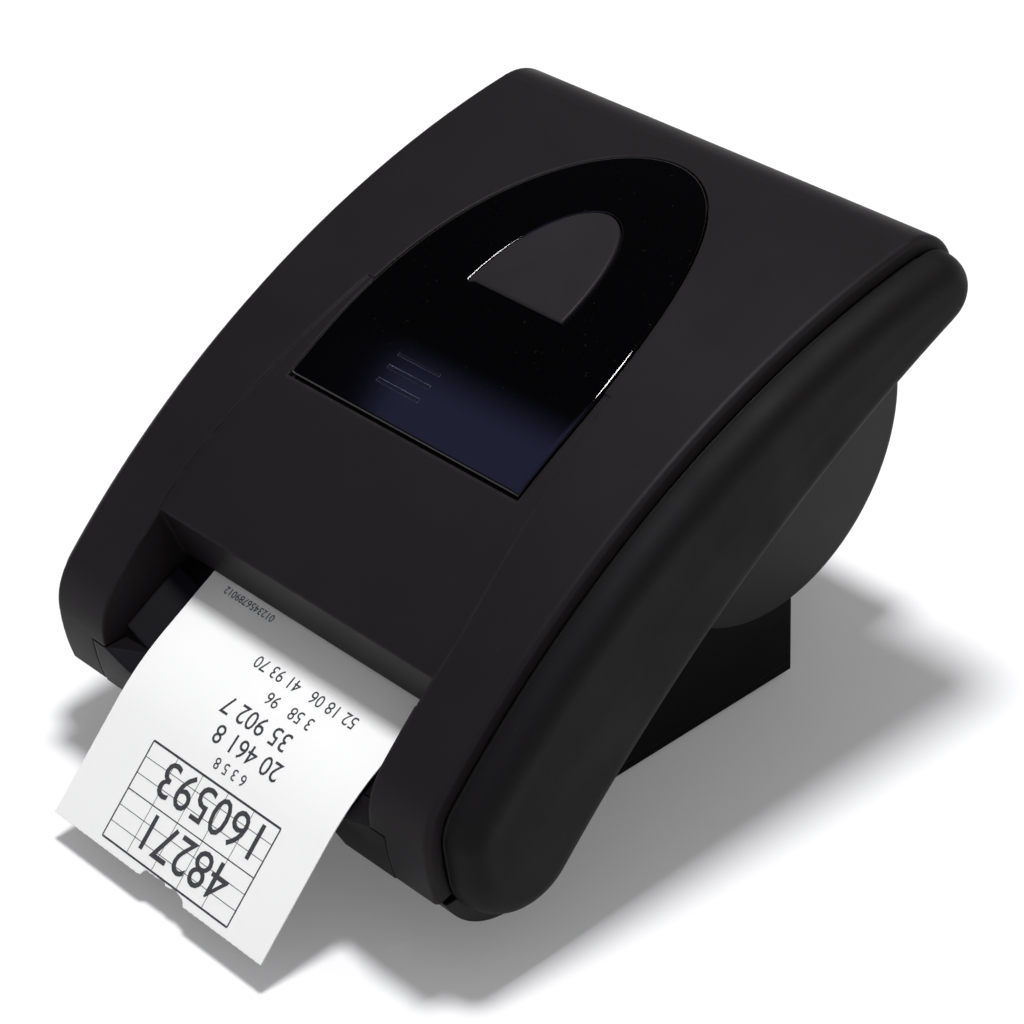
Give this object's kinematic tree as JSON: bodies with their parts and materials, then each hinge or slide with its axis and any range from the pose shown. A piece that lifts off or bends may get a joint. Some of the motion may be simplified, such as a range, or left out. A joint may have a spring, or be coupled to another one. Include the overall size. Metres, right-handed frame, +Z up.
{
  "type": "ticket printer",
  "caption": "Small thermal ticket printer with an arched hinged lid, glossy panel, feed button and soft side grips on a foot block",
  "frame": {"origin": "on the table, in the middle of the outer box seen from above", "axes": "X to the right as seen from the front, Y to the back, Z up"},
  "size_m": [0.114, 0.1534, 0.0957],
  "materials": {
    "lid_plastic": "fine grained",
    "base_plastic": "fine grained",
    "soft_grip": "soft touch",
    "housing_plastic": "smooth satin",
    "foot_plastic": "satin",
    "panel_gloss": "polished",
    "light_window": "frosted",
    "button_plastic": "fine matte",
    "ticket_paper": "smooth thermal paper",
    "roll_paper": "wound paper",
    "core_cardboard": "wound board",
    "sheet_steel": "brushed",
    "shaft_steel": "ground",
    "blade_steel": "brushed",
    "sink_aluminium": "extruded",
    "head_ceramic": "glazed",
    "gear_plastic": "moulded",
    "bushing_brass": "turned",
    "roller_rubber": "ground",
    "pad_rubber": "moulded",
    "screw_steel": "zinc plated",
    "board_green": "lacquered",
    "part_black": "moulded",
    "can_sleeve": "sleeved",
    "dome_metal": "stamped"
  },
  "bodies": {
    "base": {"base_shell": "base_plastic", "base_plate": "base_plastic", "side_frame_left": "base_plastic", "side_frame_right": "base_plastic", "grip_left": "soft_grip", "grip_right": "soft_grip", "roll_housing": "housing_plastic", "mechanism_frame": "sheet_steel", "bushing_left": "bushing_brass", "bushing_right": "bushing_brass", "idler_axle": "shaft_steel", "motor": "sheet_steel", "hinge_pin_left": "shaft_steel", "hinge_pin_right": "shaft_steel", "ticket": "ticket_paper", "foot_block": "foot_plastic", "foot_cover": "foot_plastic", "rubber_pad_1": "pad_rubber", "rubber_pad_2": "pad_rubber", "rubber_pad_3": "pad_rubber", "rubber_pad_4": "pad_rubber", "foot_screw_1": "screw_steel", "foot_screw_2": "screw_steel", "foot_screw_3": "screw_steel", "foot_screw_4": "screw_steel", "main_board": "board_green", "board_chip": "part_black", "capacitor": "can_sleeve", "power_inlet": "part_black", "data_socket": "dome_metal", "switch_frame": "part_black"},
    "lid": {"lid_shell": "lid_plastic", "lid_frame": "base_plastic", "control_panel": "panel_gloss", "light_bars": "light_window", "heat_sink": "sink_aluminium", "print_head": "head_ceramic", "head_spring_left": "sheet_steel", "head_spring_right": "sheet_steel", "tear_bar": "blade_steel", "button_board": "board_green", "dome_switch": "dome_metal"},
    "button": {"feed_button": "button_plastic"},
    "platen": {"platen_rubber": "roller_rubber", "platen_shaft": "shaft_steel", "platen_gear": "gear_plastic"},
    "idler": {"idler_gear": "gear_plastic"},
    "motor_rotor": {"motor_shaft": "shaft_steel", "motor_pinion": "bushing_brass"},
    "roll": {"paper_roll": "roll_paper", "roll_core": "core_cardboard"},
    "rocker": {"switch_rocker": "part_black"}
  },
  "joints": [
    {"name": "lid_hinge", "type": "hinge", "parent": "base", "child": "lid", "pos_m": [0, 0.05842, 0.08516], "axis": [-1, 0, 0], "range_deg": [0, 95]},
    {"name": "feed_press", "type": "slide", "parent": "lid", "child": "button", "axis": [0, 0.3173, -0.9483], "range_m": [0, 0.001], "stiffness_N_per_m": 400, "springref_m": -0.0004},
    {"name": "platen_spin", "type": "hinge", "parent": "base", "child": "platen", "pos_m": [0, -0.02593, 0.03769], "axis": [1, 0, 0], "continuous": true},
    {"name": "idler_spin", "type": "hinge", "parent": "base", "child": "idler", "pos_m": [0.0315, -0.01467, 0.0312], "axis": [1, 0, 0], "continuous": true},
    {"name": "motor_spin", "type": "hinge", "parent": "base", "child": "motor_rotor", "pos_m": [0.025, -0.00467, 0.0312], "axis": [1, 0, 0], "continuous": true},
    {"name": "roll_spin", "type": "hinge", "parent": "base", "child": "roll", "pos_m": [0, 0.04332, 0.0463], "axis": [1, 0, 0], "continuous": true},
    {"name": "power_rocker", "type": "hinge", "parent": "base", "child": "rocker", "pos_m": [0.019, 0.04832, 0.0086], "axis": [1, 0, 0], "range_deg": [0, 20]}
  ],
  "couplings": [
    {"joint": "idler_spin", "follows": "platen_spin", "ratio": -0.85714},
    {"joint": "motor_spin", "follows": "platen_spin", "ratio": 2}
  ]
}
